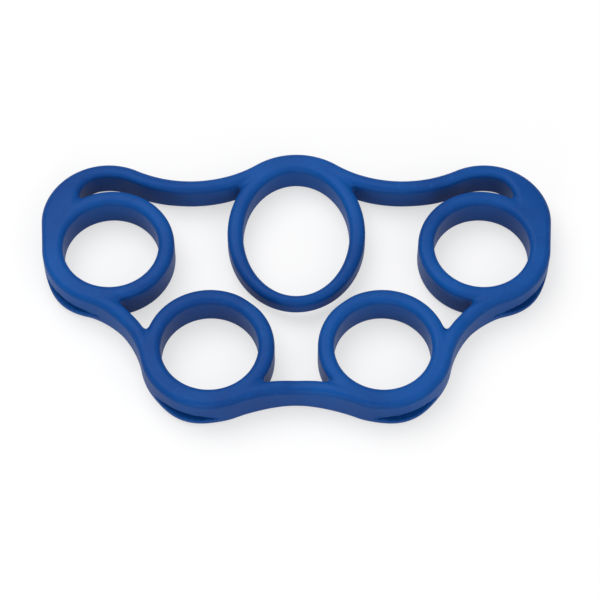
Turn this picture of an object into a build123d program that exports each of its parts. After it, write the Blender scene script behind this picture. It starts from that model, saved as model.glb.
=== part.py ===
from build123d import *
import math
import os

# Five-ring silicone finger stretcher, lying flat on its rings.
# Millimetres, +Z up. The origin is on the resting plane, at the middle of the outline.
# The left half is described with negative x, and the right half is its mirror image.
# The moulding is divided where it flexes: rings and the band round them, and the straps between.

# Driving dimensions: holes and walls
finger_hole_r = 13.5
ring_wall = 4.2
band_width = 4.2
thumb_hole_half_width = 15.1
thumb_hole_half_length = 20.0
thumb_side_wall = 4.5
thumb_end_wall = 3.3

# Driving dimensions: where the holes and the lobes of the outline are, from the thumb ring's axis
upper_finger_x = 52.5
upper_finger_y = 10.0
lower_finger_x = 24.0
lower_finger_y = -22.5
thumb_hole_y = 14.9
thumb_lobe_y = 19.7
crown_shift_x = 1.5
crown_shift_y = 9.0
crown_r = 18.5
thumb_lobe_r = 21.3
lobe_wall = 5.9
slot_end = 10.2

# Driving dimensions: hollows of the outline between the lobes
top_hollow_r = 35.0
side_hollow_r = 24.5
bottom_hollow_r = 43.0

# Driving dimensions: heights and rounded edges
ring_height = 11.0
strap_height = 9.6
thumb_height = 10.2
thumb_end_height = 6.2
edge_round = 1.1
corner_round = 1.2

# Driving dimensions: the crescent relief in the outer wall of each finger ring
relief_depth = 2.3
relief_half_angle = 32.0
relief_low = 2.7
relief_height = 1.9
upper_relief_angle = 228.0
lower_relief_angle = 249.0

# Driving dimensions: where the straps end, as angles in degrees about the centre of each hollow
top_strap_angles = (-105.0, -75.0)
side_strap_angles = (28.0, 46.0)
bottom_strap_angle = 12.0

reach = 120.0  # how far the tools that trim one region from another go past the outline

# Derived sizes
finger_lobe_r = finger_hole_r + lobe_wall
finger_ring_r = finger_hole_r + ring_wall
outline_top = thumb_lobe_y + thumb_lobe_r
outline_bottom = lower_finger_y - finger_lobe_r
shift_y = -(outline_top + outline_bottom) / 2
mid_z = ring_height / 2

thumb_hole_centre = Vector(0, thumb_hole_y + shift_y)
thumb_lobe_centre = Vector(0, thumb_lobe_y + shift_y)
thumb_ring_back = thumb_hole_centre.Y + thumb_hole_half_length + ring_wall
thumb_ring_front = thumb_hole_centre.Y - thumb_hole_half_length - thumb_end_wall
upper_centre = Vector(-upper_finger_x, upper_finger_y + shift_y)
lower_centre = Vector(-lower_finger_x, lower_finger_y + shift_y)
crown_centre = upper_centre + Vector(-crown_shift_x, crown_shift_y)
lower_right_centre = Vector(-lower_centre.X, lower_centre.Y)


def polar(centre, radius, degrees):
    """The point at that distance and angle from a centre."""
    angle = math.radians(degrees)
    return centre + Vector(math.cos(angle), math.sin(angle)) * radius


def hollow_centre(first, first_r, second, second_r, hollow_r):
    """Centre of the arc that touches two lobes from outside, to the right of first to second."""
    a = first_r + hollow_r
    b = second_r + hollow_r
    span = second - first
    along = (a * a - b * b + span.length**2) / (2 * span.length)
    away = math.sqrt(a * a - along * along)
    unit = span.normalized()
    return first + unit * along + Vector(unit.Y, -unit.X) * away


def touch(centre, radius, hollow):
    """The point where a lobe meets the hollow beside it."""
    return centre + (hollow - centre).normalized() * radius


def arc_between(centre, radius, start, end):
    """The shorter arc of a circle from one of its points to another."""
    middle = centre + (start + end - centre * 2).normalized() * radius
    return ThreePointArc(start, middle, end)


top_hollow = hollow_centre(thumb_lobe_centre, thumb_lobe_r, crown_centre, crown_r, top_hollow_r)
side_hollow = hollow_centre(upper_centre, finger_lobe_r, lower_centre, finger_lobe_r, side_hollow_r)
bottom_hollow = hollow_centre(
    lower_centre, finger_lobe_r, lower_right_centre, finger_lobe_r, bottom_hollow_r
)

crown_touch = touch(crown_centre, crown_r, top_hollow)
thumb_touch = touch(thumb_lobe_centre, thumb_lobe_r, top_hollow)
upper_touch = touch(upper_centre, finger_lobe_r, side_hollow)
lower_side_touch = touch(lower_centre, finger_lobe_r, side_hollow)
lower_end_touch = touch(lower_centre, finger_lobe_r, bottom_hollow)
outline_top_point = thumb_lobe_centre + Vector(0, thumb_lobe_r)
outline_bottom_point = bottom_hollow + Vector(0, bottom_hollow_r)

# The straight flank that touches the crown lobe and the ring's lobe from outside
crown_lean = math.degrees(math.atan2(crown_shift_y, -crown_shift_x))
crown_span = math.hypot(crown_shift_x, crown_shift_y)
flank_angle = crown_lean + math.degrees(math.acos((finger_lobe_r - crown_r) / crown_span))
crown_flank = polar(crown_centre, crown_r, flank_angle)
upper_flank = polar(upper_centre, finger_lobe_r, flank_angle)

finger_centres = [
    upper_centre,
    lower_centre,
    lower_right_centre,
    Vector(-upper_centre.X, upper_centre.Y),
]


def sharp_corners(sketch):
    """The corners of a sketch where two edges meet at an angle."""
    found = []
    for vertex in sketch.vertices():
        here = Vector(*vertex)
        directions = [
            edge.tangent_at(end)
            for edge in sketch.edges()
            for end in (0, 1)
            if (edge.position_at(end) - here).length < 1e-4 and not edge.is_closed
        ]
        if len(directions) == 2 and directions[0].cross(directions[1]).length > 0.1:
            found.append(vertex)
    return found


with BuildSketch() as outline:
    with BuildLine():
        arc_between(thumb_lobe_centre, thumb_lobe_r, outline_top_point, thumb_touch)
        arc_between(top_hollow, top_hollow_r, thumb_touch, crown_touch)
        arc_between(crown_centre, crown_r, crown_touch, crown_flank)
        Line(crown_flank, upper_flank)
        arc_between(upper_centre, finger_lobe_r, upper_flank, upper_touch)
        arc_between(side_hollow, side_hollow_r, upper_touch, lower_side_touch)
        arc_between(lower_centre, finger_lobe_r, lower_side_touch, lower_end_touch)
        arc_between(bottom_hollow, bottom_hollow_r, lower_end_touch, outline_bottom_point)
        mirror(about=Plane.YZ)
    make_face()

with BuildSketch() as thumb_hole:
    with Locations(thumb_hole_centre):
        Ellipse(thumb_hole_half_width, thumb_hole_half_length)

with BuildSketch() as thumb_outer:
    with Locations((0, (thumb_ring_back + thumb_ring_front) / 2)):
        Ellipse(thumb_hole_half_width + thumb_side_wall, (thumb_ring_back - thumb_ring_front) / 2)

# The solid flanks outside the upper rings, where the slot under the crown ends
with BuildSketch() as flanks:
    add(outline.sketch)
    Rectangle(2 * (upper_finger_x + slot_end), reach, mode=Mode.SUBTRACT)

with BuildSketch() as profile:
    add(outline.sketch)
    offset(outline.sketch, amount=-band_width, mode=Mode.SUBTRACT)
    add(flanks.sketch)
    add(thumb_outer.sketch)
    with Locations(*finger_centres):
        Circle(finger_ring_r)
        Circle(finger_hole_r, mode=Mode.SUBTRACT)
    add(thumb_hole.sketch, mode=Mode.SUBTRACT)
    fillet(sharp_corners(profile), corner_round)


def moulding(height):
    """The whole profile at one height, about the middle plane, with rounded edges."""
    with BuildPart() as blank:
        with BuildSketch(Plane.XY.offset(mid_z - height / 2)):
            add(profile.sketch)
        extrude(amount=height)
        rims = blank.faces().filter_by(Plane.XY).edges()
        fillet(rims, edge_round)
    return blank.part


def relief(centre, middle_angle):
    """The crescent cut in a ring's outer wall: deepest in the middle, running out at both ends."""
    half_width = finger_lobe_r * math.sin(math.radians(relief_half_angle))
    end_depth = finger_lobe_r * math.cos(math.radians(relief_half_angle))
    rise = finger_lobe_r - relief_depth - end_depth
    floor_r = (half_width**2 + rise**2) / (2 * rise)
    with BuildPart() as crescent:
        with BuildSketch(Plane.XY.offset(relief_low)):
            with Locations(Location((centre.X, centre.Y), middle_angle)):
                with Locations((end_depth + finger_lobe_r / 2, 0)):
                    Rectangle(finger_lobe_r, 2 * half_width)
                with Locations((end_depth + rise - floor_r, 0)):
                    Circle(floor_r, mode=Mode.SUBTRACT)
        extrude(amount=relief_height)
    return crescent.part


# The tools that trim a region out of the moulding start below it and end above it
trim_plane = Plane.XY.offset(-ring_height)
trim_height = 3 * ring_height

finger_blank = moulding(ring_height)
thumb_blank = moulding(thumb_height)
strap_blank = moulding(strap_height)

top_strap_left_end = polar(top_hollow, reach / 2, top_strap_angles[0])
top_strap_right_end = polar(top_hollow, reach / 2, top_strap_angles[1])
side_strap_low_end = polar(side_hollow, reach / 3, side_strap_angles[0])
side_strap_high_end = polar(side_hollow, reach / 3, side_strap_angles[1])
bottom_strap_end = polar(bottom_hollow, bottom_hollow_r + 2 * band_width, 90 + bottom_strap_angle)


def flip(point):
    """The same point on the right half."""
    return Vector(-point.X, point.Y)


with BuildPart() as thumb_ring:
    add(thumb_blank)
    with BuildSketch(trim_plane):
        add(thumb_outer.sketch)
    extrude(amount=trim_height, mode=Mode.INTERSECT)
    with BuildSketch(Plane.YZ):
        with BuildLine():
            Polyline(
                (thumb_ring_back, mid_z - thumb_height / 2),
                (thumb_ring_back, mid_z + thumb_height / 2),
                (thumb_ring_front, mid_z + thumb_end_height / 2),
                (thumb_ring_front, mid_z - thumb_end_height / 2),
                close=True,
            )
        make_face()
    extrude(amount=reach, both=True, mode=Mode.INTERSECT)

with BuildPart() as top_band:
    add(thumb_blank)
    with BuildSketch(trim_plane):
        Polygon(
            top_hollow, top_strap_right_end, flip(top_strap_right_end), flip(top_hollow), align=None
        )
        add(thumb_outer.sketch, mode=Mode.SUBTRACT)
    extrude(amount=trim_height, mode=Mode.INTERSECT)

with BuildPart() as top_left_strap:
    add(strap_blank)
    with BuildSketch(trim_plane):
        Polygon(top_hollow, top_strap_left_end, top_strap_right_end, align=None)
        add(thumb_outer.sketch, mode=Mode.SUBTRACT)
        with Locations(*finger_centres):
            Circle(finger_ring_r, mode=Mode.SUBTRACT)
    extrude(amount=trim_height, mode=Mode.INTERSECT)

with BuildPart() as upper_left_ring:
    add(finger_blank)
    with BuildSketch(trim_plane):
        with Locations(upper_centre):
            Circle(finger_ring_r)
    extrude(amount=trim_height, mode=Mode.INTERSECT)

with BuildPart() as upper_left_band:
    add(finger_blank)
    with BuildSketch(trim_plane):
        Polygon(
            top_hollow,
            top_strap_left_end,
            upper_centre,
            side_strap_high_end,
            side_hollow,
            side_hollow + Vector(-reach, 0),
            side_hollow + Vector(-reach, reach),
            top_hollow + Vector(-reach, 0),
            align=None,
        )
        with Locations(*finger_centres):
            Circle(finger_ring_r, mode=Mode.SUBTRACT)
    extrude(amount=trim_height, mode=Mode.INTERSECT)
    add(relief(upper_centre, upper_relief_angle), mode=Mode.SUBTRACT)

with BuildPart() as left_strap:
    add(strap_blank)
    with BuildSketch(trim_plane):
        Polygon(side_hollow, side_strap_low_end, side_strap_high_end, align=None)
        with Locations(*finger_centres):
            Circle(finger_ring_r, mode=Mode.SUBTRACT)
    extrude(amount=trim_height, mode=Mode.INTERSECT)

with BuildPart() as lower_left_ring:
    add(finger_blank)
    with BuildSketch(trim_plane):
        with Locations(lower_centre):
            Circle(finger_ring_r)
    extrude(amount=trim_height, mode=Mode.INTERSECT)

with BuildPart() as lower_left_band:
    add(finger_blank)
    with BuildSketch(trim_plane):
        Polygon(
            side_hollow,
            side_strap_low_end,
            lower_centre,
            bottom_strap_end,
            bottom_hollow,
            bottom_hollow + Vector(-reach, 0),
            side_hollow + Vector(-reach, 0),
            align=None,
        )
        with Locations(*finger_centres):
            Circle(finger_ring_r, mode=Mode.SUBTRACT)
    extrude(amount=trim_height, mode=Mode.INTERSECT)
    add(relief(lower_centre, lower_relief_angle), mode=Mode.SUBTRACT)

with BuildPart() as bottom_left_strap:
    add(strap_blank)
    with BuildSketch(trim_plane):
        Polygon(bottom_hollow, bottom_strap_end, Vector(0, bottom_strap_end.Y), align=None)
        with Locations(*finger_centres):
            Circle(finger_ring_r, mode=Mode.SUBTRACT)
    extrude(amount=trim_height, mode=Mode.INTERSECT)

pieces = {"thumb_ring": thumb_ring.part, "top_band": top_band.part}
left_pieces = {
    "top_left_strap": top_left_strap,
    "upper_left_ring": upper_left_ring,
    "upper_left_band": upper_left_band,
    "left_strap": left_strap,
    "lower_left_ring": lower_left_ring,
    "lower_left_band": lower_left_band,
    "bottom_left_strap": bottom_left_strap,
}
for name, left_piece in left_pieces.items():
    with BuildPart() as right_piece:
        mirror(left_piece.part, about=Plane.YZ)
    pieces[name] = left_piece.part
    pieces[name.replace("left", "right")] = right_piece.part

os.makedirs("parts", exist_ok=True)
for name, piece in pieces.items():
    piece.label = name
    export_step(piece, f"parts/{name}.step")
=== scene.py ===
"""Five-ring silicone finger stretcher: its moulded skin, its finish, and a pale studio."""

import math

import bmesh
import bpy
import numpy as np
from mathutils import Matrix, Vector


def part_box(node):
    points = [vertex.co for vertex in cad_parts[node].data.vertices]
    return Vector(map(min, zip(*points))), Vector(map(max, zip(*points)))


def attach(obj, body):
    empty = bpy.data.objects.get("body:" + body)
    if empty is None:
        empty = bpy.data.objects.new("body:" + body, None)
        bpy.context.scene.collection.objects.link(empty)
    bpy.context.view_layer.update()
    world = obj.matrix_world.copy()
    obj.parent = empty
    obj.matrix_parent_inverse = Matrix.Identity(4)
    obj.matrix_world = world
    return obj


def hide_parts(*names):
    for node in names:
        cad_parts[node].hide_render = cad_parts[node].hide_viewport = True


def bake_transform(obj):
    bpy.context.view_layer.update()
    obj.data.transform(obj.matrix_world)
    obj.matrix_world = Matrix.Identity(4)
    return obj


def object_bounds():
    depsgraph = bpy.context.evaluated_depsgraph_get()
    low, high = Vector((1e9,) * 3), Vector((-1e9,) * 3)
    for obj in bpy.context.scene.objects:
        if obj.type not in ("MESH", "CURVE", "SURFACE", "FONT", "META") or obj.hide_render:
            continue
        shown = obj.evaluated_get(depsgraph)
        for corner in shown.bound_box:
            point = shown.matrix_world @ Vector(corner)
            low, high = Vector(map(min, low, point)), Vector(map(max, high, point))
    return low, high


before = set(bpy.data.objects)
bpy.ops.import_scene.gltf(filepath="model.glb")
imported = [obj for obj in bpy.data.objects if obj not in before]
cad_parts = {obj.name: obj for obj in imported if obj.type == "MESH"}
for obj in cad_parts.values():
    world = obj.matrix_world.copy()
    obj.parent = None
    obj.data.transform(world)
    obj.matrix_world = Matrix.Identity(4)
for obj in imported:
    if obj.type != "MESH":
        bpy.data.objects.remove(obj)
cad_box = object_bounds()

bl_info = {
    "name": "Finger Stretcher",
    "version": (1, 0, 0),
    "blender": (4, 5, 0),
    "location": "View3D > Sidebar > Stretcher",
    "description": "Builds a five-ring silicone finger stretcher round its construction frame",
    "category": "Add Mesh",
}

MM = 0.001
FAR = 1.0  # more than any distance in the moulding

# Where the height changes over the plan.
RING_FULL = 19 * MM  # full height up to here from a finger ring's centre
RING_DOWN = 27 * MM  # a strap's height from here on
THUMB_FULL = 5 * MM  # the thumb ring's own height up to here from its hole's edge
THUMB_DOWN = 9 * MM  # its neighbours' height from here on

# The crescent reliefs.
RELIEF_MOUTH = 0.02 * MM  # holds a relief's ends just outside the wall
LIP_FADE = 0.5 * MM  # how far below a relief's floor its lip starts to fade

# How the skin is drawn and shared out.
GRID_CELLS = 2.5  # cells of room round the moulding
GRID_ROOM = 1.0 * MM  # further room, which the lips need
POLISH_ROUNDS = 2  # times that the vertices are moved onto the skin
THUMB_REGION = 5.2 * MM  # how far the thumb ring's region reaches from its hole
STRAP_OUTSIDE = 2 * MM  # how far a strap's region reaches past its outer edge
STRAP_INSIDE = 1.2 * MM  # how far it reaches past its inner edge
CUT_REACH = 4.6 * MM  # a cut works on the faces this near to the middle of its strap
CUT_SNAP = 1e-7  # vertices this near to a cut count as on it

FLOOR_HALF = 4.0
FLOOR_BOUNCE = 0.5
# Each lamp's name, place, size and power.
LAMPS = (
    ("key_softbox", (-0.30, 0.35, 0.95), 0.9, 8.5),
    ("fill_softbox", (0.55, -0.55, 0.7), 0.9, 2.8),
    ("front_strip", (-0.15, -0.75, 0.16), 0.22, 1.6),
)


def ring_of(node):
    """Centre and outer radius of a round ring of the frame, in metres."""
    low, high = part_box(node)
    centre = (low + high) / 2
    return np.array(centre[:2]), (high.y - low.y) / 2


UPPER_CENTRE, FINGER_RING_R = ring_of("upper_right_ring")
LOWER_CENTRE, _ = ring_of("lower_right_ring")
THUMB_LOW, THUMB_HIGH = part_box("thumb_ring")
RINGS_LOW, RINGS_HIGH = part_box("upper_right_ring")
MID_Z = (RINGS_LOW.z + RINGS_HIGH.z) / 2
OUTLINE_TOP = cad_box[1].y
OUTLINE_BOTTOM = cad_box[0].y
OUTLINE_SIDE = cad_box[1].x


def length(name, value, words):
    """A property that holds a length in metres."""
    return bpy.props.FloatProperty(
        name=name, description=words, default=value, unit="LENGTH", precision=5, min=0.0
    )


def degrees(name, value, words):
    """A property that holds an angle."""
    return bpy.props.FloatProperty(
        name=name, description=words, default=math.radians(value), unit="ROTATION"
    )


def colour(name, value, words):
    """A property that holds a linear colour."""
    return bpy.props.FloatVectorProperty(
        name=name, description=words, default=value, subtype="COLOR", size=3, min=0.0, max=1.0
    )


class StretcherSizes(bpy.types.PropertyGroup):
    """Sizes of the moulded skin."""

    cell: length("Cell", 0.42 * MM, "Spacing of the grid that the skin is drawn out of")
    finger_hole: length("Finger hole", 13.5 * MM, "Radius of a finger hole")
    band: length("Band", 4.2 * MM, "Width of the outer band")
    thumb_hole_width: length("Thumb hole width", 15.1 * MM, "Half the width of the oval hole")
    thumb_hole_length: length("Thumb hole length", 20.0 * MM, "Half the length of the oval hole")
    thumb_end_wall: length("Thumb end wall", 3.3 * MM, "Wall at the thumb ring's free end")
    crown: length("Crown", 18.5 * MM, "Radius of the lobe above an upper ring")
    crown_out: length("Crown out", 1.5 * MM, "How far the crown lobe stands outside its ring")
    crown_up: length("Crown up", 9.0 * MM, "How far the crown lobe stands above its ring")
    thumb_lobe: length("Thumb lobe", 21.3 * MM, "Radius of the lobe over the thumb ring")
    top_hollow: length("Top hollow", 35.0 * MM, "Radius of the hollow beside the thumb ring")
    side_hollow: length("Side hollow", 24.5 * MM, "Radius of the hollow between two rings")
    bottom_hollow: length("Bottom hollow", 43.0 * MM, "Radius of the hollow at the bottom")
    slot_end: length("Slot end", 62.7 * MM, "Where the slot under a crown ends, from the middle")
    strap_half: length("Strap half height", 4.8 * MM, "Half the height of a strap")
    thumb_half: length("Thumb half height", 5.1 * MM, "Half the thumb ring's height at its crown")
    thumb_end_half: length("Thumb end half height", 3.1 * MM, "Half its height at the free end")
    edge: length("Edge", 1.85 * MM, "Radius of the rounded edges")
    corner: length("Corner", 2.2 * MM, "How far two walls blend where they meet")
    slot_fade: length("Slot fade", 6.0 * MM, "How far the slot under a crown fades out at its end")
    swell: length("Swell", 0.35 * MM, "How far a finger ring's wall stands out between junctions")


class ReliefSizes(bpy.types.PropertyGroup):
    """Sizes of the crescent cut in the outer wall of each finger ring."""

    depth: length("Depth", 2.5 * MM, "Depth in the middle")
    low: length("Low", 2.7 * MM, "Height of its floor's lower edge")
    high: length("High", 4.7 * MM, "Height of its floor's upper edge")
    lip: length("Lip", 0.8 * MM, "How far the wall below it stands out")
    half_angle: degrees("Half angle", 33.0, "Half the angle that it spans about the ring")
    upper_angle: degrees("Upper angle", -48.0, "Where it is on an upper ring")
    lower_angle: degrees("Lower angle", -69.0, "Where it is on a lower ring")


class StrapSizes(bpy.types.PropertyGroup):
    """Where the elastic straps begin and end."""

    top: degrees("Top", 15.0, "Half angle of a top strap about the centre of its hollow")
    side_low: degrees("Side low", 28.0, "Lower end of a side strap about its hollow's centre")
    side_high: degrees("Side high", 46.0, "Upper end of a side strap about its hollow's centre")
    bottom: degrees("Bottom", 12.0, "Half angle of the bottom strap about its hollow's centre")


class SiliconeFinish(bpy.types.PropertyGroup):
    """Colours and gloss of the silicone."""

    blue: colour("Blue", (0.0025, 0.0680, 0.2850), "Main colour")
    deep: colour("Deep", (0.0020, 0.0460, 0.2150), "Colour of its darker clouds")
    # Pale colour of the specks; the same colour also paints a highlight on convex edges and lips.
    bloom_and_edge_highlight: colour("Bloom", (0.0110, 0.0960, 0.3400), "Pale bloom that handling leaves")
    roughness: bpy.props.FloatProperty(
        name="Roughness", description="Gloss of the moulded face", default=0.46, min=0.0, max=1.0
    )
    grain: length("Grain", 0.35 * MM, "Size of the moulded grain")


class StudioLook(bpy.types.PropertyGroup):
    """Camera, floor and lamps."""

    distance: length("Distance", 0.7, "From the camera to the object")
    elevation: degrees("Elevation", 60.0, "Camera's height above the horizon")
    lens: bpy.props.FloatProperty(
        name="Lens", description="Focal length in millimetres", default=148.9, min=10.0
    )
    aim_right: length("Aim right", 1.04 * MM, "Aim to the right of the object's middle")
    aim_down: length("Aim down", 4.23 * MM, "Aim below the object's middle")
    floor: colour("Floor", (0.86, 0.86, 0.86), "Floor colour")
    shine: bpy.props.FloatProperty(
        name="Floor glow", description="Share of the floor that is white by itself", default=0.6
    )
    world: bpy.props.FloatProperty(
        name="World", description="Strength of the light all round", default=0.46, min=0.0
    )


# ---------------------------------------------------------------- outline and its distances


def unit(vector):
    """The vector at length one."""
    return vector / np.hypot(*vector)


def beside(first, first_r, second, second_r, hollow_r):
    """Centre of the arc that touches two lobes from outside, to the left of first to second."""
    a = first_r + hollow_r
    b = second_r + hollow_r
    span = second - first
    size = np.hypot(*span)
    along = (a * a - b * b + size * size) / (2 * size)
    way = unit(span)
    return first + way * along + np.array([-way[1], way[0]]) * math.sqrt(a * a - along * along)


def outline_arcs(sizes):
    """The right half of the outline as arcs: centre, radius, start and end directions, and side.
    They run clockwise from the top. Side is 1 for a lobe and -1 for a hollow. With them come the
    straight stretch of the flank, the hollows' centres and the radius of a lobe round a ring."""
    thumb = np.array([0.0, OUTLINE_TOP - sizes.thumb_lobe])
    crown = UPPER_CENTRE + np.array([sizes.crown_out, sizes.crown_up])
    lobe_r = LOWER_CENTRE[1] - OUTLINE_BOTTOM
    lower_left = LOWER_CENTRE * np.array([-1.0, 1.0])
    top = beside(thumb, sizes.thumb_lobe, crown, sizes.crown, sizes.top_hollow)
    side = beside(UPPER_CENTRE, lobe_r, LOWER_CENTRE, lobe_r, sizes.side_hollow)
    bottom = beside(LOWER_CENTRE, lobe_r, lower_left, lobe_r, sizes.bottom_hollow)
    lean = math.atan2(sizes.crown_up, sizes.crown_out)
    span = math.hypot(sizes.crown_out, sizes.crown_up)
    flank = lean - math.acos((lobe_r - sizes.crown) / span)
    flank_way = np.array([math.cos(flank), math.sin(flank)])
    up = np.array([0.0, 1.0])
    arcs = [
        (thumb, sizes.thumb_lobe, up, unit(top - thumb), 1),
        (top, sizes.top_hollow, unit(thumb - top), unit(crown - top), -1),
        (crown, sizes.crown, unit(top - crown), flank_way, 1),
        (UPPER_CENTRE, lobe_r, flank_way, unit(side - UPPER_CENTRE), 1),
        (side, sizes.side_hollow, unit(UPPER_CENTRE - side), unit(LOWER_CENTRE - side), -1),
        (LOWER_CENTRE, lobe_r, unit(side - LOWER_CENTRE), unit(bottom - LOWER_CENTRE), 1),
        (bottom, sizes.bottom_hollow, unit(LOWER_CENTRE - bottom), up, -1),
    ]
    flank_line = (crown + flank_way * sizes.crown, UPPER_CENTRE + flank_way * lobe_r, flank_way)
    return arcs, flank_line, {"top": top, "side": side, "bottom": bottom}, lobe_r


def cross(a, b):
    """Cross product of two flat vectors."""
    return a[..., 0] * b[..., 1] - a[..., 1] * b[..., 0]


def outline_distance(points, arcs, flank_line):
    """Distance from the outline on the right half, negative inside."""
    found = np.full(len(points), -FAR)
    for centre, radius, start, end, side in arcs:
        away = points - centre
        inside = (cross(start, away) * side <= 0) & (cross(away, end) * side <= 0)
        signed = side * (np.hypot(away[:, 0], away[:, 1]) - radius)
        nearer = inside & (np.abs(signed) < np.abs(found))
        found = np.where(nearer, signed, found)
    first, last, way = flank_line
    run = last - first
    share = ((points - first) @ run) / (run @ run)
    signed = (points - first) @ way
    nearer = (share >= 0) & (share <= 1) & (np.abs(signed) < np.abs(found))
    return np.where(nearer, signed, found)


def smooth_union(a, b, reach):
    """The nearer of two distances, blended where they are within reach of each other."""
    share = np.maximum(reach - np.abs(a - b), 0.0) / reach
    return np.minimum(a, b) - share * share * reach / 4


def oval_distance(points, middle_y, half_width, half_length):
    """Distance from an oval that stands on the middle line, close to true near its edge."""
    across = points[:, 0]
    along = points[:, 1] - middle_y
    share = np.hypot(across / half_width, along / half_length)
    slope = np.hypot(across / half_width**2, along / half_length**2)
    return share * (share - 1) / np.maximum(slope, 1e-9)


def ease(value, start, end):
    """0 before start, 1 after end, and smooth between."""
    share = np.clip((value - start) / (end - start), 0, 1)
    return share * share * (3 - 2 * share)


class Moulding:
    """The moulding as a distance that is negative inside it."""

    def __init__(self, sizes, relief):
        self.sizes = sizes
        self.relief = relief
        self.arcs, self.flank, self.hollows, self.lobe_r = outline_arcs(sizes)
        self.thumb_y = THUMB_LOW.y + sizes.thumb_end_wall + sizes.thumb_hole_length

    def thumb_hole(self, flat):
        """Distance from the thumb hole's edge, negative in the hole."""
        sizes = self.sizes
        return oval_distance(flat, self.thumb_y, sizes.thumb_hole_width, sizes.thumb_hole_length)

    def thumb_outer(self, flat):
        """Distance from the thumb ring's outer wall, negative inside."""
        return oval_distance(
            flat,
            (THUMB_LOW.y + THUMB_HIGH.y) / 2,
            (THUMB_HIGH.x - THUMB_LOW.x) / 2,
            (THUMB_HIGH.y - THUMB_LOW.y) / 2,
        )

    def half_height(self, flat):
        """Half the height of the moulding over a point of the plan."""
        sizes = self.sizes
        full = (RINGS_HIGH.z - RINGS_LOW.z) / 2
        rise = np.zeros(len(flat))
        for centre in (UPPER_CENTRE, LOWER_CENTRE):
            far = np.hypot(flat[:, 0] - centre[0], flat[:, 1] - centre[1])
            rise = np.maximum(rise, 1 - ease(far, RING_FULL, RING_DOWN))
        height = sizes.strap_half + (full - sizes.strap_half) * rise
        taper = np.clip((flat[:, 1] - THUMB_LOW.y) / (THUMB_HIGH.y - THUMB_LOW.y), 0, 1)
        thumb = sizes.thumb_end_half + (sizes.thumb_half - sizes.thumb_end_half) * taper
        near = 1 - ease(self.thumb_hole(flat), THUMB_FULL, THUMB_DOWN)
        return height + (thumb - height) * near

    def lip_and_relief(self, flat, z):
        """How far the lips stand out, and the distance from the crescent reliefs."""
        relief = self.relief
        lip = np.zeros(len(flat))
        cut = np.full(len(flat), FAR)
        middle = (relief.low + relief.high) / 2
        half = (relief.high - relief.low) / 2
        for centre, angle in (
            (UPPER_CENTRE, relief.upper_angle),
            (LOWER_CENTRE, relief.lower_angle),
        ):
            way = np.array([math.cos(angle), math.sin(angle)])
            away = flat - centre
            ahead = away @ way
            aside = cross(way, away)
            turn = np.abs(np.arctan2(aside, ahead))
            window = np.cos(np.clip(turn / relief.half_angle, 0, 1) * math.pi / 2) ** 2
            lip = np.maximum(lip, window * relief.lip)
            far = np.hypot(away[:, 0], away[:, 1])
            floor = self.lobe_r - relief.depth * window + RELIEF_MOUTH
            side_out = np.where(turn < relief.half_angle, floor - far, FAR)
            closing = half * np.sqrt(window) ** 0.5
            cut = np.minimum(cut, np.maximum(side_out, np.abs(z - middle) - closing))
        lip = lip * (1 - ease(z, relief.low - LIP_FADE, relief.high))
        return lip, cut

    def distance(self, points):
        """Distance from the moulded skin at points of the frame."""
        sizes = self.sizes
        flat = points[:, :2].copy()
        flat[:, 0] = np.abs(flat[:, 0])
        z = points[:, 2]
        lip, cut = self.lip_and_relief(flat, z)
        outline = outline_distance(flat, self.arcs, self.flank) - lip
        band = np.maximum(outline, -(outline + lip + sizes.band))
        body = smooth_union(band, np.maximum(outline, sizes.slot_end - flat[:, 0]), sizes.slot_fade)
        body = smooth_union(body, self.thumb_outer(flat), sizes.corner)
        holes = self.thumb_hole(flat)
        for centre in (UPPER_CENTRE, LOWER_CENTRE):
            far = np.hypot(flat[:, 0] - centre[0], flat[:, 1] - centre[1])
            body = smooth_union(body, far - FINGER_RING_R - sizes.swell, sizes.corner)
            holes = np.minimum(holes, far - sizes.finger_hole)
        body = np.maximum(np.maximum(body, outline), -holes)
        body = np.maximum(body, -cut)
        over = np.abs(z - MID_Z) - self.half_height(flat)
        out_flat = body + sizes.edge
        out_high = over + sizes.edge
        corner = np.hypot(np.maximum(out_flat, 0), np.maximum(out_high, 0))
        return corner + np.minimum(np.maximum(out_flat, out_high), 0) - sizes.edge


# ---------------------------------------------------------------- skin


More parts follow.
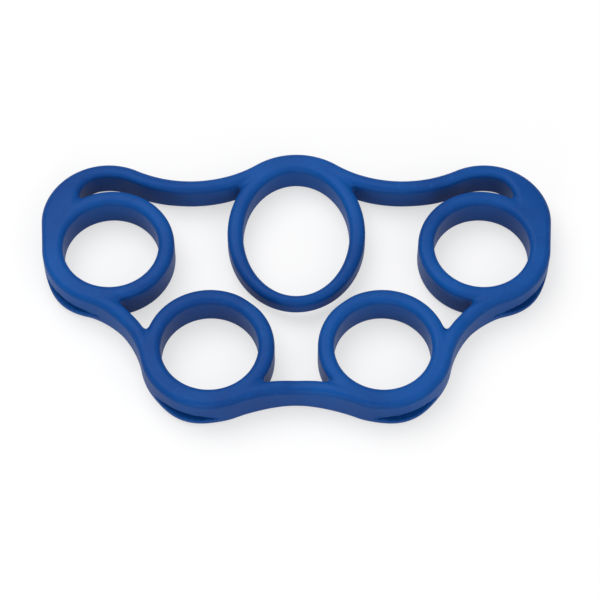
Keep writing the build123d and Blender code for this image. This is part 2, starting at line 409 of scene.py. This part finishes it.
def grid_skin(shape, cell):
    """Vertices and quads of the surface where shape's distance is zero."""
    margin = GRID_CELLS * cell
    low = np.array([-OUTLINE_SIDE, OUTLINE_BOTTOM, RINGS_LOW.z]) - margin - GRID_ROOM
    high = np.array([OUTLINE_SIDE, OUTLINE_TOP, RINGS_HIGH.z]) + margin + GRID_ROOM
    low[0] = -(math.ceil(-low[0] / cell) * cell)
    counts = np.ceil((high - low) / cell).astype(int) + 1
    axes = [low[i] + cell * np.arange(counts[i]) for i in range(3)]
    values = np.empty(counts, np.float32)
    plan = np.stack(np.meshgrid(axes[0], axes[1], indexing="ij"), -1).reshape(-1, 2)
    for k, z in enumerate(axes[2]):
        points = np.column_stack([plan, np.full(len(plan), z)])
        values[:, :, k] = shape(points).reshape(counts[0], counts[1])
    total = np.zeros((*(counts - 1), 3), np.float32)
    seen = np.zeros(counts - 1, np.int32)
    crossings = []
    for axis in range(3):
        first = np.take(values, range(counts[axis] - 1), axis)
        second = np.take(values, range(1, counts[axis]), axis)
        crossed = (first < 0) != (second < 0)
        place = np.argwhere(crossed)
        share = first[crossed] / (first[crossed] - second[crossed])
        point = place.astype(np.float32)
        point[:, axis] += share
        others = [a for a in range(3) if a != axis]
        for step_a in (0, 1):
            for step_b in (0, 1):
                at = place.copy()
                at[:, others[0]] -= step_a
                at[:, others[1]] -= step_b
                np.add.at(total, tuple(at.T), point)
                np.add.at(seen, tuple(at.T), 1)
        crossings.append((axis, others, place, first[crossed] < 0))
    used = seen > 0
    number = np.full(seen.shape, -1, np.int64)
    number[used] = np.arange(used.sum())
    vertices = low + cell * total[used] / seen[used][:, None]
    quads = []
    for axis, others, place, rising in crossings:
        corners = []
        for step_a, step_b in ((0, 0), (1, 0), (1, 1), (0, 1)):
            at = place.copy()
            at[:, others[0]] -= step_a
            at[:, others[1]] -= step_b
            corners.append(number[tuple(at.T)])
        quad = np.stack(corners, -1)
        turned = rising if axis != 1 else ~rising
        quads.append(np.where(turned[:, None], quad, quad[:, ::-1]))
    return vertices, np.concatenate(quads)


def slope_of(shape, points, step=0.05 * MM):
    """Unit direction in which the distance grows fastest."""
    slope = np.zeros_like(points)
    for axis in range(3):
        move = np.zeros(3)
        move[axis] = step
        slope[:, axis] = shape(points + move) - shape(points - move)
    size = np.linalg.norm(slope, axis=1, keepdims=True)
    return slope / np.maximum(size, 1e-12)


def moulded_mesh():
    """The whole moulding as one mesh, and the moulding that the mesh follows."""
    scene = bpy.context.scene
    sizes = scene.stretcher_sizes
    moulding = Moulding(sizes, scene.stretcher_relief)
    vertices, quads = grid_skin(moulding.distance, sizes.cell)
    for _ in range(POLISH_ROUNDS):
        step = np.clip(moulding.distance(vertices), -sizes.cell, sizes.cell)
        vertices = vertices - slope_of(moulding.distance, vertices) * step[:, None]
    vertices[:, 2] = np.clip(vertices[:, 2], RINGS_LOW.z, RINGS_HIGH.z)
    mesh = bpy.data.meshes.new("moulding")
    mesh.from_pydata(vertices.tolist(), [], quads.tolist())
    mesh.validate()
    return mesh, moulding


class Cut:
    """A straight cut across a strap, along a ray from the centre of its hollow."""

    def __init__(self, centre, angle):
        self.centre = centre
        self.along = np.array([math.cos(angle), math.sin(angle)])
        self.normal = np.array([-self.along[1], self.along[0]])

    def side(self, flat):
        """Positive on the anticlockwise side of the ray."""
        return (flat - self.centre) @ self.normal


def strap_cuts(moulding):
    """The pair of cuts at the ends of each strap of the right half, and of the bottom one."""
    straps = bpy.context.scene.stretcher_straps
    down = -math.pi / 2
    top = moulding.hollows["top"]
    side = moulding.hollows["side"]
    bottom = moulding.hollows["bottom"]
    return {
        "top": (Cut(top, down - straps.top), Cut(top, down + straps.top)),
        "side": (
            Cut(side, math.pi - straps.side_low),
            Cut(side, math.pi - straps.side_high),
        ),
        "bottom": (Cut(bottom, math.pi / 2 - straps.bottom), Cut(bottom, math.pi / 2)),
    }


def hollow_radii():
    """Radius of each hollow, where the outer edge of its strap runs."""
    sizes = bpy.context.scene.stretcher_sizes
    return {"top": sizes.top_hollow, "side": sizes.side_hollow, "bottom": sizes.bottom_hollow}


def in_strap(flat, strap, moulding, cuts):
    """Which points of the right half lie in a strap."""
    first, second = cuts[strap]
    sizes = bpy.context.scene.stretcher_sizes
    hollow_r = hollow_radii()[strap]
    far = np.hypot(*(flat - moulding.hollows[strap]).T)
    near = (far > hollow_r - STRAP_OUTSIDE) & (far < hollow_r + sizes.band + STRAP_INSIDE)
    between = first.side(flat) * second.side(flat) <= 0
    ahead = (flat - moulding.hollows[strap]) @ (first.along + second.along) > 0
    return near & between & ahead


def split_moulding():
    """Makes the moulding and cuts its mesh across where the straps begin and end."""
    mesh, moulding = moulded_mesh()
    cuts = strap_cuts(moulding)
    work = bmesh.new()
    work.from_mesh(mesh)
    sizes = bpy.context.scene.stretcher_sizes
    radii = hollow_radii()
    for strap, pair in cuts.items():
        for cut in pair:
            for side in (1, -1):
                if strap == "bottom" and cut is pair[1] and side < 0:
                    continue
                centre = cut.centre * np.array([side, 1.0])
                along = cut.along * np.array([side, 1.0])
                middle = centre + along * (radii[strap] + sizes.band / 2)
                faces = [
                    f
                    for f in work.faces
                    if abs(f.verts[0].co.x - middle[0]) < CUT_REACH
                    and abs(f.verts[0].co.y - middle[1]) < CUT_REACH
                ]
                edges = {e for f in faces for e in f.edges}
                verts = {v for f in faces for v in f.verts}
                bmesh.ops.bisect_plane(
                    work,
                    geom=[*faces, *edges, *verts],
                    dist=CUT_SNAP,
                    plane_co=(middle[0], middle[1], MID_Z),
                    plane_no=(-along[1], along[0], 0),
                )
    work.to_mesh(mesh)
    work.free()
    return mesh, moulding, cuts


REGIONS = {}


def region_name(flat, moulding, cuts):
    """The region of the moulding that each point of the plan belongs to."""
    side = np.where(flat[:, 0] < 0, "left", "right")
    right = np.column_stack([np.abs(flat[:, 0]), flat[:, 1]])
    from_top = cuts["top"][0].side(right)
    over_thumb = (from_top < 0) & (right[:, 1] > moulding.thumb_y)
    is_thumb = (moulding.thumb_hole(right) < THUMB_REGION) | over_thumb
    gap = (UPPER_CENTRE + LOWER_CENTRE) / 2
    between = (right - gap) @ (UPPER_CENTRE - LOWER_CENTRE)
    names = np.where(between > 0, "upper", "lower").astype(object) + "_" + side.astype(object)
    names = np.where(is_thumb, "thumb", names)
    for strap in ("top", "side", "bottom"):
        inside = in_strap(right, strap, moulding, cuts)
        names = np.where(inside, strap + "_" + side.astype(object), names)
    return names


def make_regions():
    """Shares the moulded skin out to its regions, once."""
    if REGIONS:
        return REGIONS
    mesh, moulding, cuts = split_moulding()
    count = len(mesh.vertices)
    points = np.empty(count * 3)
    mesh.vertices.foreach_get("co", points)
    points = points.reshape(-1, 3)
    normals = slope_of(moulding.distance, points)
    polygons = [tuple(p.vertices) for p in mesh.polygons]
    centres = np.array([points[list(p)].mean(0) for p in polygons])
    names = region_name(centres[:, :2], moulding, cuts)
    for name in sorted(set(names)):
        chosen = [polygons[i] for i in np.flatnonzero(names == name)]
        REGIONS[name] = (points, normals, chosen)
    return REGIONS


def region_piece(region, name, material):
    """A closed piece for one region of the moulding, shaded as part of the whole."""
    points, normals, polygons = make_regions()[region]
    used = sorted({v for p in polygons for v in p})
    place = {v: i for i, v in enumerate(used)}
    mesh = bpy.data.meshes.new(name)
    mesh.from_pydata(points[used].tolist(), [], [[place[v] for v in p] for p in polygons])
    work = bmesh.new()
    work.from_mesh(mesh)
    rims = [e for e in work.edges if e.is_boundary]
    bmesh.ops.holes_fill(work, edges=rims, sides=0)
    work.to_mesh(mesh)
    work.free()
    mesh.shade_smooth()
    mesh.normals_split_custom_set_from_vertices(normals[used].tolist())
    mesh.materials.append(material)
    piece = bpy.data.objects.new(name, mesh)
    bpy.context.scene.collection.objects.link(piece)
    return piece


# ---------------------------------------------------------------- finish


def node(tree, kind, place, **values):
    """A shader node with its plain settings and sockets set."""
    made = tree.nodes.new(kind)
    made.location = place
    for key, value in values.items():
        if hasattr(made, key):
            setattr(made, key, value)
        else:
            made.inputs[key.replace("_", " ")].default_value = value
    return made


def silicone():
    """Satin blue silicone: soft clouds in the colour, a moulded grain, pale specks, and a painted
    highlight that makes convex edges pale.
    """
    found = bpy.data.materials.get("blue_silicone_finish")
    if found:
        return found
    finish = bpy.context.scene.stretcher_finish
    material = bpy.data.materials.new("blue_silicone_finish")
    material.use_nodes = True
    tree = material.node_tree
    link = tree.links.new
    shader = tree.nodes["Principled BSDF"]
    where = node(tree, "ShaderNodeTexCoord", (-1300, 0))
    clouds = node(tree, "ShaderNodeTexNoise", (-1050, 300), Scale=38.0, Detail=4.0)
    link(where.outputs["Object"], clouds.inputs["Vector"])
    cloud_mix = node(tree, "ShaderNodeMix", (-750, 300), data_type="RGBA")
    cloud_share = node(
        tree, "ShaderNodeMapRange", (-900, 300), From_Min=0.38, From_Max=0.66
    )
    link(clouds.outputs["Fac"], cloud_share.inputs["Value"])
    link(cloud_share.outputs["Result"], cloud_mix.inputs["Factor"])
    cloud_mix.inputs[6].default_value = (*finish.deep, 1)
    cloud_mix.inputs[7].default_value = (*finish.blue, 1)
    specks = node(tree, "ShaderNodeTexNoise", (-1050, 0), Scale=620.0, Detail=6.0)
    link(where.outputs["Object"], specks.inputs["Vector"])
    bloom_share = node(
        tree, "ShaderNodeMapRange", (-850, 0), From_Min=0.56, From_Max=0.78, To_Max=0.32
    )
    link(specks.outputs["Fac"], bloom_share.inputs["Value"])
    # Painted highlight: pointiness makes convex edges and the relief lips pale with the speck
    # colour.
    edge_highlight_shape = node(tree, "ShaderNodeNewGeometry", (-1050, -250))
    edge_highlight_share = node(
        tree, "ShaderNodeMapRange", (-850, -250), From_Min=0.52, From_Max=0.60, To_Max=0.16
    )
    link(edge_highlight_shape.outputs["Pointiness"], edge_highlight_share.inputs["Value"])
    either = node(tree, "ShaderNodeMath", (-650, -120), operation="MAXIMUM")
    link(bloom_share.outputs["Result"], either.inputs[0])
    link(edge_highlight_share.outputs["Result"], either.inputs[1])
    bloom_and_highlight_mix = node(tree, "ShaderNodeMix", (-450, 200), data_type="RGBA")
    link(either.outputs["Value"], bloom_and_highlight_mix.inputs["Factor"])
    link(cloud_mix.outputs[2], bloom_and_highlight_mix.inputs[6])
    bloom_and_highlight_mix.inputs[7].default_value = (*finish.bloom_and_edge_highlight, 1)
    link(bloom_and_highlight_mix.outputs[2], shader.inputs["Base Color"])
    gloss = node(tree, "ShaderNodeMapRange", (-450, -150))
    gloss.inputs["To Min"].default_value = finish.roughness - 0.07
    gloss.inputs["To Max"].default_value = finish.roughness + 0.09
    link(specks.outputs["Fac"], gloss.inputs["Value"])
    link(gloss.outputs["Result"], shader.inputs["Roughness"])
    grain = node(tree, "ShaderNodeTexNoise", (-650, -450), Scale=1.0 / finish.grain, Detail=3.0)
    link(where.outputs["Object"], grain.inputs["Vector"])
    bump = node(tree, "ShaderNodeBump", (-250, -400), Strength=0.16, Distance=0.05 * MM)
    link(grain.outputs["Fac"], bump.inputs["Height"])
    link(bump.outputs["Normal"], shader.inputs["Normal"])
    shader.inputs["Subsurface Weight"].default_value = 0.08
    shader.inputs["Subsurface Radius"].default_value = (0.2, 0.5, 1.0)
    shader.inputs["Subsurface Scale"].default_value = 1.2 * MM
    shader.inputs["Specular IOR Level"].default_value = 0.15
    shader.inputs["IOR"].default_value = 1.41
    return material


# ---------------------------------------------------------------- pieces


def blended(piece):
    """Bakes a strap's place into its mesh."""
    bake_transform(piece)


class STRETCHER_OT_thumb_ring(bpy.types.Operator):
    """Makes the oval thumb ring and the band over it."""

    bl_idname = "stretcher.thumb_ring"
    bl_label = "Thumb ring"

    def execute(self, context):
        piece = region_piece("thumb", "thumb_ring_skin", silicone())
        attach(piece, "thumb")
        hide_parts("thumb_ring", "top_band")
        return {"FINISHED"}


class STRETCHER_OT_finger_rings(bpy.types.Operator):
    """Makes the four finger rings, each with the band round it and its crescent relief."""

    bl_idname = "stretcher.finger_rings"
    bl_label = "Finger rings"

    def execute(self, context):
        for level in ("upper", "lower"):
            for side in ("left", "right"):
                body = f"{level}_{side}"
                piece = region_piece(body, f"{body}_ring_skin", silicone())
                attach(piece, body)
                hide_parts(f"{body}_ring", f"{body}_band")
        return {"FINISHED"}


class STRETCHER_OT_straps(bpy.types.Operator):
    """Makes the skins of the elastic straps; the pieces do not stretch when the rings move."""

    bl_idname = "stretcher.straps"
    bl_label = "Elastic straps"

    def execute(self, context):
        make_regions()
        for side in ("left", "right"):
            top = region_piece(f"top_{side}", f"top_{side}_strap_skin", silicone())
            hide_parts(f"top_{side}_strap")
            blended(top)
            flank = region_piece(f"side_{side}", f"{side}_strap_skin", silicone())
            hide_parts(f"{side}_strap")
            blended(flank)
            base = region_piece(f"bottom_{side}", f"bottom_{side}_strap_skin", silicone())
            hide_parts(f"bottom_{side}_strap")
            blended(base)
        return {"FINISHED"}


def floor_material(tint, shine):
    """A pale floor that looks near white, keeps a soft shadow, and lights the object little."""
    material = bpy.data.materials.new("studio_floor")
    material.use_nodes = True
    tree = material.node_tree
    tree.nodes.clear()
    link = tree.links.new
    out = node(tree, "ShaderNodeOutputMaterial", (600, 0))
    matt = node(tree, "ShaderNodeBsdfDiffuse", (-200, 100), Color=(*tint, 1))
    glow = node(tree, "ShaderNodeEmission", (-200, -100), Color=(1, 1, 1, 1), Strength=1.0)
    seen = node(tree, "ShaderNodeMixShader", (100, 0), Fac=shine)
    link(matt.outputs[0], seen.inputs[1])
    link(glow.outputs[0], seen.inputs[2])
    path = node(tree, "ShaderNodeLightPath", (-200, 400))
    direct = node(tree, "ShaderNodeMath", (100, 300), operation="MAXIMUM")
    link(path.outputs["Is Camera Ray"], direct.inputs[0])
    link(path.outputs["Is Glossy Ray"], direct.inputs[1])
    dim = (FLOOR_BOUNCE, FLOOR_BOUNCE, FLOOR_BOUNCE, 1)
    bounce = node(tree, "ShaderNodeBsdfDiffuse", (100, -250), Color=dim)
    both = node(tree, "ShaderNodeMixShader", (350, 0))
    link(direct.outputs[0], both.inputs[0])
    link(bounce.outputs[0], both.inputs[1])
    link(seen.outputs[0], both.inputs[2])
    link(both.outputs[0], out.inputs["Surface"])
    return material


def soft_lamp(name, place, aim, size, power):
    """A square soft lamp that points at the object."""
    data = bpy.data.lights.new(name, "AREA")
    data.size = size
    data.energy = power
    lamp = bpy.data.objects.new(name, data)
    lamp.location = place
    lamp.rotation_euler = (Vector(aim) - Vector(place)).to_track_quat("-Z", "Y").to_euler()
    bpy.context.scene.collection.objects.link(lamp)


class STRETCHER_OT_stage(bpy.types.Operator):
    """Makes the pale floor, the soft lamps and the camera."""

    bl_idname = "stretcher.stage"
    bl_label = "Studio"

    def execute(self, context):
        scene = context.scene
        look = scene.stretcher_studio
        low, high = cad_box
        middle = Vector((low + high) / 2)
        mesh = bpy.data.meshes.new("floor")
        corners = [
            (x * FLOOR_HALF, y * FLOOR_HALF, low.z) for x, y in ((-1, -1), (1, -1), (1, 1), (-1, 1))
        ]
        mesh.from_pydata(corners, [], [(0, 1, 2, 3)])
        mesh.materials.append(floor_material(look.floor, look.shine))
        floor = bpy.data.objects.new("floor", mesh)
        scene.collection.objects.link(floor)
        for name, place, size, power in LAMPS:
            soft_lamp(name, place, middle, size, power)
        world = bpy.data.worlds.new("studio")
        scene.world = world
        world.use_nodes = True
        background = world.node_tree.nodes["Background"]
        background.inputs["Color"].default_value = (1, 1, 1, 1)
        background.inputs["Strength"].default_value = look.world
        camera_data = bpy.data.cameras.new("camera")
        camera_data.lens = look.lens
        camera_data.sensor_width = 36.0
        camera_data.clip_start = 0.01
        camera = bpy.data.objects.new("camera", camera_data)
        scene.collection.objects.link(camera)
        tilt = look.elevation
        back = Vector((0, -math.cos(tilt), math.sin(tilt)))
        up = Vector((0, math.sin(tilt), math.cos(tilt)))
        aim = middle + Vector((look.aim_right, 0, 0)) - up * look.aim_down
        camera.location = aim + back * look.distance
        camera.rotation_mode = "QUATERNION"
        camera.rotation_quaternion = (-back).to_track_quat("-Z", "Y")
        scene.camera = camera
        scene.view_settings.view_transform = "Standard"
        return {"FINISHED"}


class STRETCHER_PT_panel(bpy.types.Panel):
    """Lists the pieces and their sizes."""

    bl_label = "Finger Stretcher"
    bl_idname = "STRETCHER_PT_panel"
    bl_space_type = "VIEW_3D"
    bl_region_type = "UI"
    bl_category = "Stretcher"

    def draw(self, context):
        layout = self.layout
        for operator in OPERATORS:
            layout.operator(operator.bl_idname)
        for name in SETTINGS:
            group = getattr(context.scene, name)
            box = layout.box()
            for key in group.__annotations__:
                box.prop(group, key)


SETTINGS = {
    "stretcher_sizes": StretcherSizes,
    "stretcher_relief": ReliefSizes,
    "stretcher_straps": StrapSizes,
    "stretcher_finish": SiliconeFinish,
    "stretcher_studio": StudioLook,
}
OPERATORS = [
    STRETCHER_OT_thumb_ring,
    STRETCHER_OT_finger_rings,
    STRETCHER_OT_straps,
    STRETCHER_OT_stage,
]
CLASSES = [*SETTINGS.values(), *OPERATORS, STRETCHER_PT_panel]


def register():
    """Registers the classes and hangs the settings on the scene."""
    for cls in CLASSES:
        bpy.utils.register_class(cls)
    for name, group in SETTINGS.items():
        setattr(bpy.types.Scene, name, bpy.props.PointerProperty(type=group))


def unregister():
    """Takes the settings and classes away again."""
    for name in SETTINGS:
        delattr(bpy.types.Scene, name)
    for cls in reversed(CLASSES):
        bpy.utils.unregister_class(cls)


def main():
    """Builds every piece and the stage."""
    register()
    bpy.ops.stretcher.thumb_ring()
    bpy.ops.stretcher.finger_rings()
    bpy.ops.stretcher.straps()
    bpy.ops.stretcher.stage()
    bpy.context.view_layer.update()


if __name__ == "__main__":
    main()
